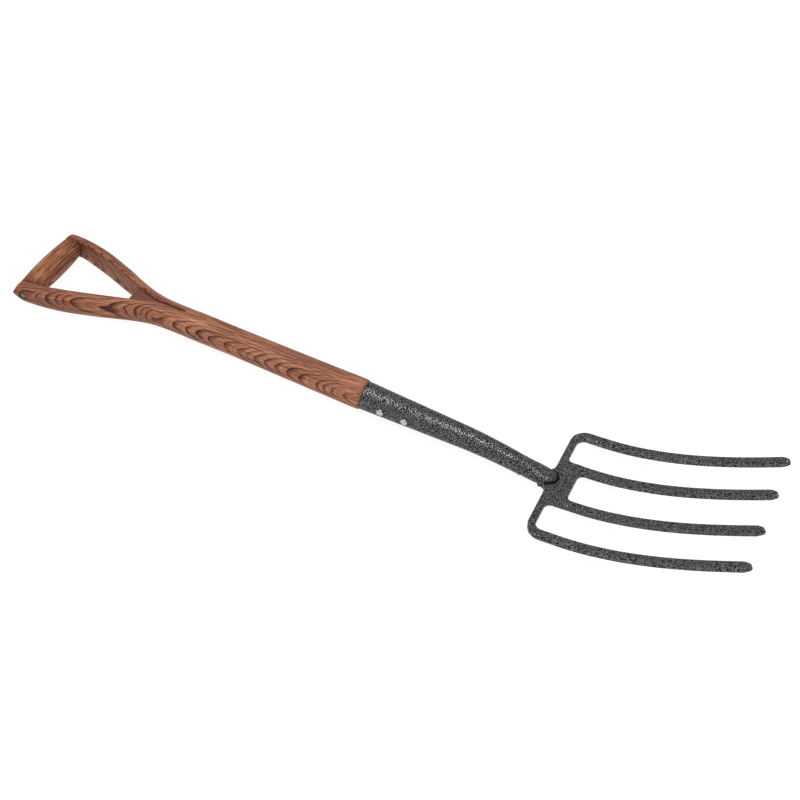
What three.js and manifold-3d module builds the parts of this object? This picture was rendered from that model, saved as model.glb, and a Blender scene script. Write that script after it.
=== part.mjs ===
// A garden digging fork with a split ash shaft, a riveted steel socket and a forged four-tine head.
// Millimetres. The fork lies on its back: +X runs from the hand grip to the tine tips, +Y is across
// the head and +Z is up, out of the hollow front of the tines.
// Every piece is drawn about the shaft's own axis (x = 0 at the grip, y = z = 0 on the shaft's axis),
// and the finished fork is tipped until its neck and its handle both touch the ground.
import * as THREE from "three";
import { mergeVertices } from "three/addons/utils/BufferGeometryUtils.js";
import Module from "manifold-3d";

const wasm = await Module();
wasm.setup();

// ---- Driving dimensions ----
const GAP = 0.3; // clearance left between two pieces that touch

// Stations along one arm of the split handle. Each row holds: x, the sawn inner face, the shoulder where
// the rounded back begins, the outer face, half the height, and the radius of the inner corners.
const ARM_STATIONS = [
  [0, 51.2, 56.6, 66.4, 14.8, 4.5],
  [47, 42.3, 48.3, 59.2, 17.2, 5.0],
  [95, 26.2, 32.3, 43.8, 17.4, 5.0],
  [142, 9.4, 14.2, 24.8, 17.6, 3.8],
  [168, 0.8, 4.6, 19.7, 18.0, 1.8],
  [190, 0.8, 1.8, 18.4, 18.4, 0.8],
  [206, 0.8, 1.6, 18.4, 18.4, 0.7],
  [214, 0.8, 1.6, 17.8, 17.8, 0.7],
];
const ARM_END_RADIUS = 14.8; // the arms' ends are rounded about the grip's own axis
const KERF_HALF = 0.8; // half the width of the saw cut that splits the shaft
const GRIP_SEAT_X = 17; // the arms' inner faces are flat from their ends to here
// Where an arm's sections are drawn, up to its root inside the solid shaft.
const ARM_XS = [-18, 0, 16, 32, 47, 63, 79, 95, 111, 126, 142, 155, 168, 179, 190, 206, 214];

// Radius of the round shaft at stations along it, up to the shoulder in front of the socket.
const SHAFT_STATIONS = [
  [203, 17.9],
  [209, 18.5],
  [280, 18.7],
  [375, 19.4],
  [440, 20.0],
  [464, 20.1],
  [467.8, 19.7],
  [469.4, 18.6],
];
const SHAFT_XS = [203, 206, 209, 245, 280, 330, 375, 420, 450, 464, 467.8, 469.4];
const TENON_MIDDLE = 520;
const TENON_END = 590;
const TENON_CHAMFER = 2;
// The ash carries a very slight bow between these stations, upwards at its middle.
const BOW_FROM = 100;
const BOW_TO = 440;
const BOW_HEIGHT = 0.8;
const GRIP_DROOP = 1.4; // behind the bow the arms curve down, and the grip is this far below the axis

const SOCKET_RIM = 470;
const SOCKET_END = 688;
const SOCKET_RIM_RADIUS = 18.75;
const SOCKET_END_RADIUS = 12.45;
const SOCKET_WALL = 2;
const SOCKET_LEAN = 0.0125; // the socket points this little below the shaft's line
const CRANK_START = 600; // where the socket starts to bend back towards the head
const CRANK_DROP = 7; // how far the bend has carried the neck's axis by SOCKET_END
const SPIGOT_START = 670; // the head's spigot reaches back to here inside the socket
const SPIGOT_ROOT = 692; // and forward to here inside the neck
const SOCKET_XS = [SOCKET_RIM, TENON_MIDDLE, TENON_END, CRANK_START, 622, 640, 656, SPIGOT_START, SOCKET_END];

const WEDGE_BACK = 128;
const WEDGE_TIP = 163;
const WEDGE_SADDLE_RADIUS = 15;
const WEDGE_SADDLE_DEPTH = 4;
const WEDGE_RECESS = 1.2; // how far the wedge stays below the top of the arms

const GRIP_MID_RADIUS = 16.9;
const GRIP_END_RADIUS = 14.6;

const HEAD_START_X = 726; // back edge of the crossbar
const HEAD_START_Z = -15.4;
const HEAD_LENGTH = 277.3; // from the back edge of the crossbar to the tips, along the curve
const HEAD_HALF_WIDTH = 95;
const FROG_SLOPE = 5.5; // degrees; the frog and crossbar are flat and rise this little
const FLAT_LENGTH = 30; // they are flat this far forward of the crossbar's back edge
// Slope of the tines in degrees against distance along the head, from the end of the flat.
const TINE_SLOPES = [
  [FLAT_LENGTH, FROG_SLOPE],
  [92, 15.3],
  [184, 26.4],
  [HEAD_LENGTH, 31.4],
];
const TINE_WIDTH = 11.1;
const TINE_THICKNESS = 8.4;
const INNER_TINE_Y = 30.7;
const CROSSBAR_WIDTH = 9.2;
const CORNER_RADIUS = 21; // outer corner between crossbar and outer tine
const SLOT_FILLET = 8; // in the corners beside the inner tines
const MIDDLE_SLOT_START = 29.7;
const FROG_THICKNESS = 9.2;
const NECK_FILLET = 9; // between the neck and the crossbar's back edge
const NECK_HALF_WIDTH = 12.8;
// Where the frog's sections are drawn: distances along the head from the crossbar's back edge.
const FROG_STATIONS = [-12, -10, -8, -5.5, -3, -1.2, -0.2, 2, 8, 9.4, 10.4, 12, 14, 17.4, MIDDLE_SLOT_START];
// The same for the root of an inner tine, round the fillet of its slot.
const TINE_ROOT_STATIONS = [12, 26.7, MIDDLE_SLOT_START, 30, 32, 34.5, 37];
const TINE_FROM = 50; // forward of here the tines' sections are evenly spaced
const TIP_LEAD = 22; // and they stop this far short of the taper
const EDGE_ROUND = 0.8; // broken edges of the forging
// Taper of a tine's last stretch: distance from the tip, share of width, share of thickness.
const TIP_STATIONS = [
  [12, 1, 1],
  [9, 0.97, 1],
  [5, 0.75, 0.98],
  [2, 0.52, 0.94],
  [0.6, 0.38, 0.86],
  [0, 0.28, 0.78],
];

// The neck runs on from the socket and sinks into the frog: x, half its width, top and bottom.
const NECK_STATIONS = [
  [SOCKET_END + GAP, 12.3, 2.6, -22.0],
  [698, 12.8, 1.0, -22.3],
  [710, 13.6, -1.4, -22.3],
  [720, 13.2, -3.6, -21.8],
  [726, 12.2, -4.8, -20.8],
  [730.5, 10.8, -6.4, -19.8],
  [733.5, 8.4, -9.2, -19.2],
  [735, 5.6, -12.6, -18.6],
];
const WELD_RADIUS = 1.9;
const WELD_RISE = 0.3; // how far the bead stands out of the neck

const RIVET_RADIUS = 3;
const SOCKET_RIVET_XS = [499, 532];
const SOCKET_RIVET_HEAD_RADIUS = 4.6;
const SOCKET_RIVET_DOME = 1.9;
const GRIP_RIVET_HEAD_RADIUS = 3.9;
const GRIP_RIVET_DOME = 1.3;
const WASHER_RADIUS = 5.2;
const WASHER_THICKNESS = 1.2;
const RECESS_RADIUS = 5.7;
const RECESS_DEPTH = 3.4;
const SPLIT_RIVET_X = 235;
const SPLIT_RIVET_SHANK = 2.2;
const SPLIT_RIVET_HEAD_RADIUS = 3.8;
const SPLIT_RIVET_DOME = 0.7;
const SPLIT_RECESS_DEPTH = 1.5;

const REST_ARM_X = 47; // where the arms touch the ground when the fork lies on its back

const CUTTER_REACH = 90; // a cutter that goes right through reaches this far to each side
const ROUND_SIDES = 32;
const SMALL_ROUND_SIDES = 16;

// ---- Materials ----
const ashWood = new THREE.MeshStandardMaterial({ color: 0xa0694a, roughness: 0.5, metalness: 0 });
const wedgeWood = new THREE.MeshStandardMaterial({ color: 0x7a4c40, roughness: 0.6, metalness: 0 });
const hammerPaint = new THREE.MeshStandardMaterial({ color: 0x3a3a3c, roughness: 0.45, metalness: 0.6 });
const rivetSteel = new THREE.MeshStandardMaterial({ color: 0xc9c9c6, roughness: 0.3, metalness: 1 });

// ---- Curves ----
// A smooth curve through rows of [position, value, ...], giving the value in the given column.
function curveThrough(rows, column = 1) {
  const positions = rows.map((row) => row[0]);
  const values = rows.map((row) => row[column]);
  const interpolant = new THREE.CubicInterpolant(positions, values, 1);
  return (position) => {
    const inside = THREE.MathUtils.clamp(position, positions[0], positions[positions.length - 1]);
    return interpolant.evaluate(inside)[0];
  };
}

// Evenly spaced numbers from first to last, both included.
function evenly(first, last, count) {
  return Array.from({ length: count }, (_, i) => first + ((last - first) * i) / (count - 1));
}

// ---- Solids ----
// Turns a closed three.js geometry into a solid that can be joined and cut.
function solidOf(geometry) {
  const bare = geometry.index ? geometry.toNonIndexed() : geometry.clone();
  bare.deleteAttribute("normal");
  bare.deleteAttribute("uv");
  const merged = mergeVertices(bare, 1e-4);
  const corners = merged.index.array;
  const kept = [];
  for (let i = 0; i < corners.length; i += 3) {
    const [a, b, c] = corners.slice(i, i + 3);
    if (a !== b && b !== c && a !== c) kept.push(a, b, c);
  }
  const vertProperties = new Float32Array(merged.attributes.position.array);
  const mesh = { numProp: 3, vertProperties, triVerts: new Uint32Array(kept) };
  return new wasm.Manifold(new wasm.Mesh(mesh));
}

function geometryOf(solid) {
  const mesh = solid.getMesh();
  const positions = new Float32Array(mesh.numVert * 3);
  for (let i = 0; i < mesh.numVert; i++) {
    positions.set(mesh.vertProperties.subarray(i * mesh.numProp, i * mesh.numProp + 3), i * 3);
  }
  const geometry = new THREE.BufferGeometry();
  geometry.setAttribute("position", new THREE.BufferAttribute(positions, 3));
  geometry.setIndex(new THREE.BufferAttribute(mesh.triVerts, 1));
  geometry.computeVertexNormals();
  return geometry;
}

// Six times the volume that a triangle list encloses; negative when it faces inwards.
function signedVolume(points, triangles) {
  let sum = 0;
  for (let i = 0; i < triangles.length; i += 3) {
    const [a, b, c] = [points[triangles[i]], points[triangles[i + 1]], points[triangles[i + 2]]];
    sum += a.dot(new THREE.Vector3().crossVectors(b, c));
  }
  return sum;
}

// A solid skinned over rings of equal point count. A closed loft joins the last ring to the first;
// an open one is capped at both ends.
function loft(rings, closed = false) {
  const sides = rings[0].length;
  const points = rings.flat().map((point) => point.clone());
  const triangles = [];
  const spans = closed ? rings.length : rings.length - 1;
  for (let i = 0; i < spans; i++) {
    const here = i * sides;
    const next = ((i + 1) % rings.length) * sides;
    for (let j = 0; j < sides; j++) {
      const k = (j + 1) % sides;
      triangles.push(here + j, here + k, next + k, here + j, next + k, next + j);
    }
  }
  if (!closed) {
    const last = (rings.length - 1) * sides;
    for (const [start, flip] of [[0, true], [last, false]]) {
      const middle = points.length;
      const centre = new THREE.Vector3();
      for (let j = 0; j < sides; j++) centre.addScaledVector(points[start + j], 1 / sides);
      points.push(centre);
      for (let j = 0; j < sides; j++) {
        const k = (j + 1) % sides;
        if (flip) triangles.push(middle, start + k, start + j);
        else triangles.push(middle, start + j, start + k);
      }
    }
  }
  if (signedVolume(points, triangles) < 0) {
    for (let i = 0; i < triangles.length; i += 3) {
      [triangles[i + 1], triangles[i + 2]] = [triangles[i + 2], triangles[i + 1]];
    }
  }
  const geometry = new THREE.BufferGeometry().setFromPoints(points);
  geometry.setIndex(triangles);
  return solidOf(geometry);
}

// A circle across the shaft's axis, at x, about height z.
function circleRing(x, radius, z = 0, sides = ROUND_SIDES) {
  return evenly(0, 2 * Math.PI, sides + 1)
    .slice(0, sides)
    .map((turn) => new THREE.Vector3(x, radius * Math.cos(turn), z + radius * Math.sin(turn)));
}

// A solid turned about the Y axis from [radius, y] points that start and end on that axis.
function turnedAcross(profile, sides, x, z = 0) {
  const geometry = new THREE.LatheGeometry(profile.map(([r, y]) => new THREE.Vector2(r, y)), sides);
  geometry.translate(x, 0, z);
  const points = geometry.attributes.position;
  const flat = new THREE.BufferGeometry();
  flat.setAttribute("position", points);
  flat.setIndex(geometry.index);
  return solidOf(flat);
}

function rodAcross(x, radius, fromY, toY, z = 0, sides = SMALL_ROUND_SIDES) {
  return turnedAcross([[0, fromY], [radius, fromY], [radius, toY], [0, toY]], sides, x, z);
}

// A cutter for a hole right through the fork, from side to side.
function boreAcross(x, radius, z = 0) {
  return rodAcross(x, radius, -CUTTER_REACH, CUTTER_REACH, z);
}

// A cutter for a round recess in one side of the fork, from its floor outwards.
function recessAcross(side, x, radius, floorY, z = 0) {
  const [fromY, toY] = side > 0 ? [floorY, CUTTER_REACH] : [-CUTTER_REACH, -floorY];
  return rodAcross(x, radius, fromY, toY, z);
}

// A rivet through the fork from side to side, with a domed head at each end.
function rivetAcross(x, shankRadius, seatY, headRadius, dome, z = 0) {
  const head = [
    [shankRadius, seatY],
    [headRadius, seatY],
    [headRadius * 0.97, seatY + dome * 0.45],
    [headRadius * 0.74, seatY + dome * 0.8],
    [headRadius * 0.38, seatY + dome * 0.96],
    [0, seatY + dome],
  ];
  const tail = head.map(([r, y]) => [r, -y]).reverse();
  return turnedAcross([...tail, ...head], SMALL_ROUND_SIDES, x, z);
}

// ---- The axes of the shaft and of the bent socket ----
function shaftAxisZ(x) {
  const along = THREE.MathUtils.clamp((x - BOW_FROM) / (BOW_TO - BOW_FROM), 0, 1);
  const behind = THREE.MathUtils.clamp((BOW_FROM - x) / BOW_FROM, 0, 1);
  return BOW_HEIGHT * Math.sin(Math.PI * along) ** 2 - GRIP_DROOP * behind * behind;
}

const GRIP_Z = shaftAxisZ(0);

function socketAxisZ(x) {
  const bent = THREE.MathUtils.clamp((x - CRANK_START) / (SOCKET_END - CRANK_START), 0, 1);
  return -SOCKET_LEAN * (x - SOCKET_RIM) - CRANK_DROP * bent * bent;
}

function socketRadius(x) {
  const along = (x - SOCKET_RIM) / (SOCKET_END - SOCKET_RIM);
  return THREE.MathUtils.lerp(SOCKET_RIM_RADIUS, SOCKET_END_RADIUS, along);
}

// ---- Handle ----
const armInner = curveThrough(ARM_STATIONS, 1);
const armShoulder = curveThrough(ARM_STATIONS, 2);
const armOuter = curveThrough(ARM_STATIONS, 3);
const armHalfHeight = curveThrough(ARM_STATIONS, 4);
const armCorner = curveThrough(ARM_STATIONS, 5);
// The sawn face is flat where the grip bears on it, and never closes the saw cut.
const armInnerFace = (x) => Math.max(armInner(Math.max(x, GRIP_SEAT_X)), KERF_HALF);

// The D-shaped section of an arm: flat on the sawn inner side, rounded on the back.
function armRing(x, side) {
  const inner = armInnerFace(x);
  const corner = armCorner(x);
  const shoulder = Math.max(armShoulder(x), inner + corner);
  const reach = armOuter(x) - shoulder;
  const height = armHalfHeight(x);
  const upper = [];
  for (const turn of evenly(0, Math.PI / 2, 4)) {
    upper.push([inner + corner * (1 - Math.cos(turn)), height - corner * (1 - Math.sin(turn))]);
  }
  for (const turn of evenly(0, Math.PI / 2, 8)) {
    upper.push([shoulder + reach * Math.sin(turn), height * Math.cos(turn)]);
  }
  const outline = upper.filter(([y], i) => i === 0 || y - upper[i - 1][0] > 1e-3);
  const lower = outline.slice(0, -1).reverse().map(([y, z]) => [y, -z]);
  return [...outline, ...lower].map(([y, z]) => new THREE.Vector3(x, side * y, shaftAxisZ(x) + z));
}

// What is left of a straight arm once its end is rounded about the grip's axis.
function armEndShape() {
  const round = rodAcross(0, ARM_END_RADIUS, -CUTTER_REACH, CUTTER_REACH, GRIP_Z, 2 * ROUND_SIDES);
  const length = 2 * ARM_XS[ARM_XS.length - 1]; // well past the arm's root
  const straight = new THREE.BoxGeometry(length, 2 * CUTTER_REACH, CUTTER_REACH);
  straight.translate(length / 2, 0, 0);
  return round.add(solidOf(straight));
}

function makeArm(side) {
  return loft(ARM_XS.map((x) => armRing(x, side))).intersect(armEndShape());
}

const shaftRadius = curveThrough(SHAFT_STATIONS);
const gripRecessFloor = armOuter(0) - RECESS_DEPTH;
const splitRecessFloor = shaftRadius(SPLIT_RIVET_X) - SPLIT_RECESS_DEPTH;

function makeShaft() {
  const round = SHAFT_XS.map((x) => circleRing(x, shaftRadius(x), shaftAxisZ(x)));
  const boreRadius = (x) => socketRadius(x) - SOCKET_WALL;
  const tenon = [SOCKET_RIM - GAP, TENON_MIDDLE, TENON_END].map((x) =>
    circleRing(x, boreRadius(x) - GAP, socketAxisZ(x)),
  );
  const tenonTip = boreRadius(TENON_END) - GAP - TENON_CHAMFER;
  tenon.push(circleRing(TENON_END + TENON_CHAMFER, tenonTip, socketAxisZ(TENON_END)));
  let shaft = loft([...round, ...tenon]).add(makeArm(1)).add(makeArm(-1));
  for (const x of SOCKET_RIVET_XS) {
    shaft = shaft.subtract(boreAcross(x, RIVET_RADIUS + GAP, socketAxisZ(x)));
  }
  const splitZ = shaftAxisZ(SPLIT_RIVET_X);
  shaft = shaft
    .subtract(boreAcross(0, RIVET_RADIUS + GAP, GRIP_Z))
    .subtract(boreAcross(SPLIT_RIVET_X, SPLIT_RIVET_SHANK + GAP, splitZ));
  for (const side of [1, -1]) {
    shaft = shaft
      .subtract(recessAcross(side, 0, RECESS_RADIUS, gripRecessFloor, GRIP_Z))
      .subtract(recessAcross(side, SPLIT_RIVET_X, SPLIT_RIVET_HEAD_RADIUS + GAP, splitRecessFloor, splitZ));
  }
  return shaft;
}

// The hardwood wedge in the crotch, between the arms, with a hollow saddle facing the grip.
function makeWedge() {
  const rings = evenly(WEDGE_BACK, WEDGE_TIP, 6).map((x) => {
    const y = armInnerFace(x) - GAP;
    const z = armHalfHeight(x) - armCorner(x) - WEDGE_RECESS;
    const corners = [[y, z], [-y, z], [-y, -z], [y, -z]];
    return corners.map(([cornerY, cornerZ]) => new THREE.Vector3(x, cornerY, shaftAxisZ(x) + cornerZ));
  });
  const height = 4 * WEDGE_SADDLE_RADIUS;
  const saddle = new THREE.CylinderGeometry(WEDGE_SADDLE_RADIUS, WEDGE_SADDLE_RADIUS, height, ROUND_SIDES);
  saddle.rotateX(Math.PI / 2);
  saddle.translate(WEDGE_BACK - WEDGE_SADDLE_RADIUS + WEDGE_SADDLE_DEPTH, 0, 0);
  return loft(rings).subtract(solidOf(saddle));
}

function makeGrip() {
  const half = armInnerFace(0) - GAP;
  const barrel = evenly(-half, half, 13).map((y) => {
    const bulge = (GRIP_MID_RADIUS - GRIP_END_RADIUS) * (1 - (y / half) ** 2);
    return [GRIP_END_RADIUS + bulge, y];
  });
  return turnedAcross([[0, -half], ...barrel, [0, half]], ROUND_SIDES, 0, GRIP_Z)
    .subtract(boreAcross(0, RIVET_RADIUS + GAP, GRIP_Z));
}

function makeWasher(side) {
  const inner = gripRecessFloor + GAP;
  const outer = inner + WASHER_THICKNESS;
  const [fromY, toY] = side > 0 ? [inner, outer] : [-outer, -inner];
  return rodAcross(0, WASHER_RADIUS, fromY, toY, GRIP_Z)
    .subtract(boreAcross(0, RIVET_RADIUS + GAP, GRIP_Z));
}

function makeGripRivet() {
  const seat = gripRecessFloor + WASHER_THICKNESS + 2 * GAP;
  return rivetAcross(0, RIVET_RADIUS, seat, GRIP_RIVET_HEAD_RADIUS, GRIP_RIVET_DOME, GRIP_Z);
}

function makeSplitRivet() {
  const seat = splitRecessFloor + GAP;
  const axisZ = shaftAxisZ(SPLIT_RIVET_X);
  return rivetAcross(
    SPLIT_RIVET_X, SPLIT_RIVET_SHANK, seat, SPLIT_RIVET_HEAD_RADIUS, SPLIT_RIVET_DOME, axisZ,
  );
}

// ---- Socket ----
function makeSocket() {
  const ringAt = (x, inset) => circleRing(x, socketRadius(x) - inset, socketAxisZ(x));
  const outside = SOCKET_XS.map((x) => ringAt(x, 0));
  const inside = SOCKET_XS.map((x) => ringAt(x, SOCKET_WALL)).reverse();
  let socket = loft([...outside, ...inside], true);
  for (const x of SOCKET_RIVET_XS) {
    socket = socket.subtract(boreAcross(x, RIVET_RADIUS + GAP, socketAxisZ(x)));
  }
  return socket;
}

function makeSocketRivet(x) {
  const seat = socketRadius(x) + GAP;
  return rivetAcross(
    x, RIVET_RADIUS, seat, SOCKET_RIVET_HEAD_RADIUS, SOCKET_RIVET_DOME, socketAxisZ(x),
  );
}

// ---- Head ----
// The head is drawn flat, with s along it, y across it and n out of its front, and then bent.
const tineSlope = curveThrough(TINE_SLOPES);
const slopeAt = (s) => (s <= FLAT_LENGTH ? FROG_SLOPE : tineSlope(s));
const BEND_STEP = 1;
const BEND_FIRST = -60;
const bendTable = [];
{
  const point = new THREE.Vector2(0, 0);
  for (let s = BEND_FIRST; s <= HEAD_LENGTH + BEND_STEP; s += BEND_STEP) {
    bendTable.push(point.clone());
    const slope = THREE.MathUtils.degToRad(slopeAt(s + BEND_STEP / 2));
    point.add(new THREE.Vector2(Math.cos(slope), Math.sin(slope)).multiplyScalar(BEND_STEP));
  }
  const start = bendTable[-BEND_FIRST / BEND_STEP].clone();
  for (const entry of bendTable) entry.sub(start).add(new THREE.Vector2(HEAD_START_X, HEAD_START_Z));
}

function bent(s, y, n) {
  const place = (s - BEND_FIRST) / BEND_STEP;
  const low = Math.min(Math.floor(place), bendTable.length - 2);
  const centre = bendTable[low].clone().lerp(bendTable[low + 1], place - low);
  const slope = THREE.MathUtils.degToRad(slopeAt(s));
  return new THREE.Vector3(centre.x - n * Math.sin(slope), y, centre.y + n * Math.cos(slope));
}

// A rectangular ring with broken edges between two points of the flat drawing, [s, y] each.
function barRing(from, to, thickness) {
  const start = new THREE.Vector2(...from);
  const across = new THREE.Vector2(...to).sub(start);
  const width = across.length();
  across.normalize();
  const half = thickness / 2;
  const edge = Math.min(EDGE_ROUND, width * 0.3, half * 0.6);
  const outline = [
    [edge, half],
    [width - edge, half],
    [width, half - edge],
    [width, edge - half],
    [width - edge, -half],
    [edge, -half],
    [0, edge - half],
    [0, half - edge],
  ];
  return outline.map(([along, n]) => {
    const point = start.clone().addScaledVector(across, along);
    return bent(point.x, point.y, n);
  });
}

// Rings of a tine's free end, tapering to its blunt tip.
function tipRings(y) {
  return TIP_STATIONS.map(([back, widthShare, thicknessShare]) => {
    const half = (TINE_WIDTH / 2) * widthShare * Math.sign(y);
    const s = HEAD_LENGTH - back;
    return barRing([s, y + half], [s, y - half], TINE_THICKNESS * thicknessShare);
  });
}

const OUTER_TINE_Y = HEAD_HALF_WIDTH - TINE_WIDTH / 2;
const TINE_TO = HEAD_LENGTH - TIP_STATIONS[0][0] - TIP_LEAD;

// The crossbar and both outer tines are one bar, bent round two corners.
function makeOuterBar() {
  const half = TINE_WIDTH / 2;
  const straight = evenly(TINE_TO, CORNER_RADIUS, 13);
  const innerAtBar = CORNER_RADIUS - CROSSBAR_WIDTH;
  const innerAtTine = CORNER_RADIUS - TINE_WIDTH;
  const centreY = HEAD_HALF_WIDTH - CORNER_RADIUS;
  const turns = evenly(0, Math.PI / 2, 7).slice(1);
  const leftHalf = [
    ...tipRings(OUTER_TINE_Y).reverse(),
    ...straight.map((s) => barRing([s, OUTER_TINE_Y + half], [s, OUTER_TINE_Y - half], TINE_THICKNESS)),
    ...turns.map((turn) => {
      const inner = THREE.MathUtils.lerp(innerAtTine, innerAtBar, turn / (Math.PI / 2));
      const at = (r) => [CORNER_RADIUS - r * Math.sin(turn), centreY + r * Math.cos(turn)];
      return barRing(at(CORNER_RADIUS), at(inner), TINE_THICKNESS);
    }),
  ];
  return loft([...leftHalf, ...leftHalf.map(mirrored).reverse()]);
}

// How far a fillet of the given radius reaches sideways at a distance past the wall it starts on.
function filletReach(radius, past) {
  if (past >= radius) return 0;
  return radius - Math.sqrt(radius * radius - (radius - past) ** 2);
}

function makeInnerTine(side) {
  const half = TINE_WIDTH / 2;
  const rings = [...TINE_ROOT_STATIONS, ...evenly(TINE_FROM, TINE_TO, 11)].map((s) => {
    const past = Math.max(s - MIDDLE_SLOT_START, 0);
    const inner = INNER_TINE_Y - half - filletReach(SLOT_FILLET, past);
    return barRing([s, side * (INNER_TINE_Y + half)], [s, side * inner], TINE_THICKNESS);
  });
  return loft([...rings, ...tipRings(side * INNER_TINE_Y)]);
}

function mirrored(ring) {
  return ring.map((point) => point.clone().setY(-point.y));
}

// The flat frog: it flares from the neck to the crossbar, and carries the inner tines.
function makeFrog() {
  const reach = INNER_TINE_Y + TINE_WIDTH / 2;
  const widthAt = (s) => {
    if (s <= 0) return NECK_HALF_WIDTH + filletReach(NECK_FILLET, -s);
    if (s < CROSSBAR_WIDTH) return reach;
    return reach + filletReach(SLOT_FILLET, s - CROSSBAR_WIDTH);
  };
  return loft(FROG_STATIONS.map((s) => barRing([s, widthAt(s)], [s, -widthAt(s)], FROG_THICKNESS)));
}

function makeNeck() {
  const rings = NECK_STATIONS.map(([x, halfWidth, top, bottom]) => {
    const middle = (top + bottom) / 2;
    const halfHeight = (top - bottom) / 2;
    return circleRing(x, 1).map((point) =>
      new THREE.Vector3(x, point.y * halfWidth, middle + point.z * halfHeight),
    );
  });
  return loft(rings);
}

function makeSpigot() {
  const xs = [SPIGOT_START, SOCKET_END, SPIGOT_ROOT];
  return loft(xs.map((x) => {
    const onAxis = Math.min(x, SOCKET_END);
    return circleRing(x, socketRadius(onAxis) - SOCKET_WALL - GAP, socketAxisZ(onAxis), SMALL_ROUND_SIDES);
  }));
}

function makeHead() {
  return makeOuterBar()
    .add(makeFrog())
    .add(makeInnerTine(1))
    .add(makeInnerTine(-1))
    .add(makeNeck())
    .add(makeSpigot());
}

// A bead of weld round the joint between the socket and the head's neck.
function makeWeld() {
  const turns = evenly(0, 2 * Math.PI, 9).slice(0, 8);
  const seat = SOCKET_END_RADIUS + GAP;
  const rings = turns.map((turn) => {
    const out = seat + (WELD_RISE * (1 + Math.sin(turn))) / 2;
    return circleRing(SOCKET_END + WELD_RADIUS * Math.cos(turn), out, socketAxisZ(SOCKET_END));
  });
  return loft(rings, true);
}

// ---- Assembly ----
function named(name, solid, material) {
  const mesh = new THREE.Mesh(geometryOf(solid), material);
  mesh.name = name;
  return mesh;
}

const handle = new THREE.Group();
handle.add(
  named("ash_shaft", makeShaft(), ashWood),
  named("crotch_wedge", makeWedge(), wedgeWood),
  named("hand_grip", makeGrip(), ashWood),
  named("grip_rivet", makeGripRivet(), rivetSteel),
  named("grip_washer_left", makeWasher(1), rivetSteel),
  named("grip_washer_right", makeWasher(-1), rivetSteel),
  named("split_rivet", makeSplitRivet(), rivetSteel),
);

const head = new THREE.Group();
head.add(
  named("socket", makeSocket(), hammerPaint),
  named("socket_rivet_upper", makeSocketRivet(SOCKET_RIVET_XS[0]), rivetSteel),
  named("socket_rivet_lower", makeSocketRivet(SOCKET_RIVET_XS[1]), rivetSteel),
  named("neck_weld", makeWeld(), hammerPaint),
  named("fork_head", makeHead(), hammerPaint),
);

const fork = new THREE.Group();
fork.add(handle, head);

// The fork rests on the undersides of the handle's arms and of its neck.
const armRest = new THREE.Vector2(REST_ARM_X, shaftAxisZ(REST_ARM_X) - armHalfHeight(REST_ARM_X));
const neckRest = new THREE.Vector2(SOCKET_END, socketAxisZ(SOCKET_END) - SOCKET_END_RADIUS - WELD_RISE);
fork.rotation.y = neckRest.clone().sub(armRest).angle() - 2 * Math.PI;
fork.updateMatrixWorld(true);
const box = new THREE.Box3().setFromObject(fork, true);
const centre = box.getCenter(new THREE.Vector3());
fork.position.set(-centre.x, -centre.y, -box.min.z);

export default fork;
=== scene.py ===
"""Looks of a garden digging fork: split ash shaft, barrel grip, riveted steel socket, forged head.

Shapes are drawn in the tool's own axes, in millimetres: x = 0 on the grip's axis and growing towards
the tine tips, y across the head, z out of the hollow front of the tines, with the shaft's axis on
y = z = 0. `TO_PART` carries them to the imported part's frame, in metres.
"""
import math

import bmesh
import bpy
import numpy as np
from mathutils import Matrix, Vector


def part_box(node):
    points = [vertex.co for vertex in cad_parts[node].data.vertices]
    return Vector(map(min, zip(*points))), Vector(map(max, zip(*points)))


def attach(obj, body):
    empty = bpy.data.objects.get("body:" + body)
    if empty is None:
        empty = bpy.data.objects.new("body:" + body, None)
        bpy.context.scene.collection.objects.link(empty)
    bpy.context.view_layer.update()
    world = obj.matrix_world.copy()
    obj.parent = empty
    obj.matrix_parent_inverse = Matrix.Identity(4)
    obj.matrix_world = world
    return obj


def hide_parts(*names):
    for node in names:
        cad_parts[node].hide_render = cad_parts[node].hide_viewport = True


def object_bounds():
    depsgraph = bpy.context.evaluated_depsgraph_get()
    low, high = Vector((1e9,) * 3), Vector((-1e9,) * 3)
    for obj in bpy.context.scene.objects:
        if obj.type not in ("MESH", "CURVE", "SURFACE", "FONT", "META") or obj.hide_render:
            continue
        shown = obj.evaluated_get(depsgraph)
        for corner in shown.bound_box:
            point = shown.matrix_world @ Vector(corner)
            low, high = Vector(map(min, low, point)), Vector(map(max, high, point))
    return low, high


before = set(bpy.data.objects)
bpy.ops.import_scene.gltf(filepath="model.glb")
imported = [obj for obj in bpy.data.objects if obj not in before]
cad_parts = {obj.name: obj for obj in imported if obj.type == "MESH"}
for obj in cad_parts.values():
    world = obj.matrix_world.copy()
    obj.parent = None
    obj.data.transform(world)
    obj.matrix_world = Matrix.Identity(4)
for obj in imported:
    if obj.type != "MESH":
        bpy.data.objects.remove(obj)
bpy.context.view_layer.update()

# ---- Driving dimensions, millimetres ----
TOUCH = 0.05  # gap between two pieces that touch

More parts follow.
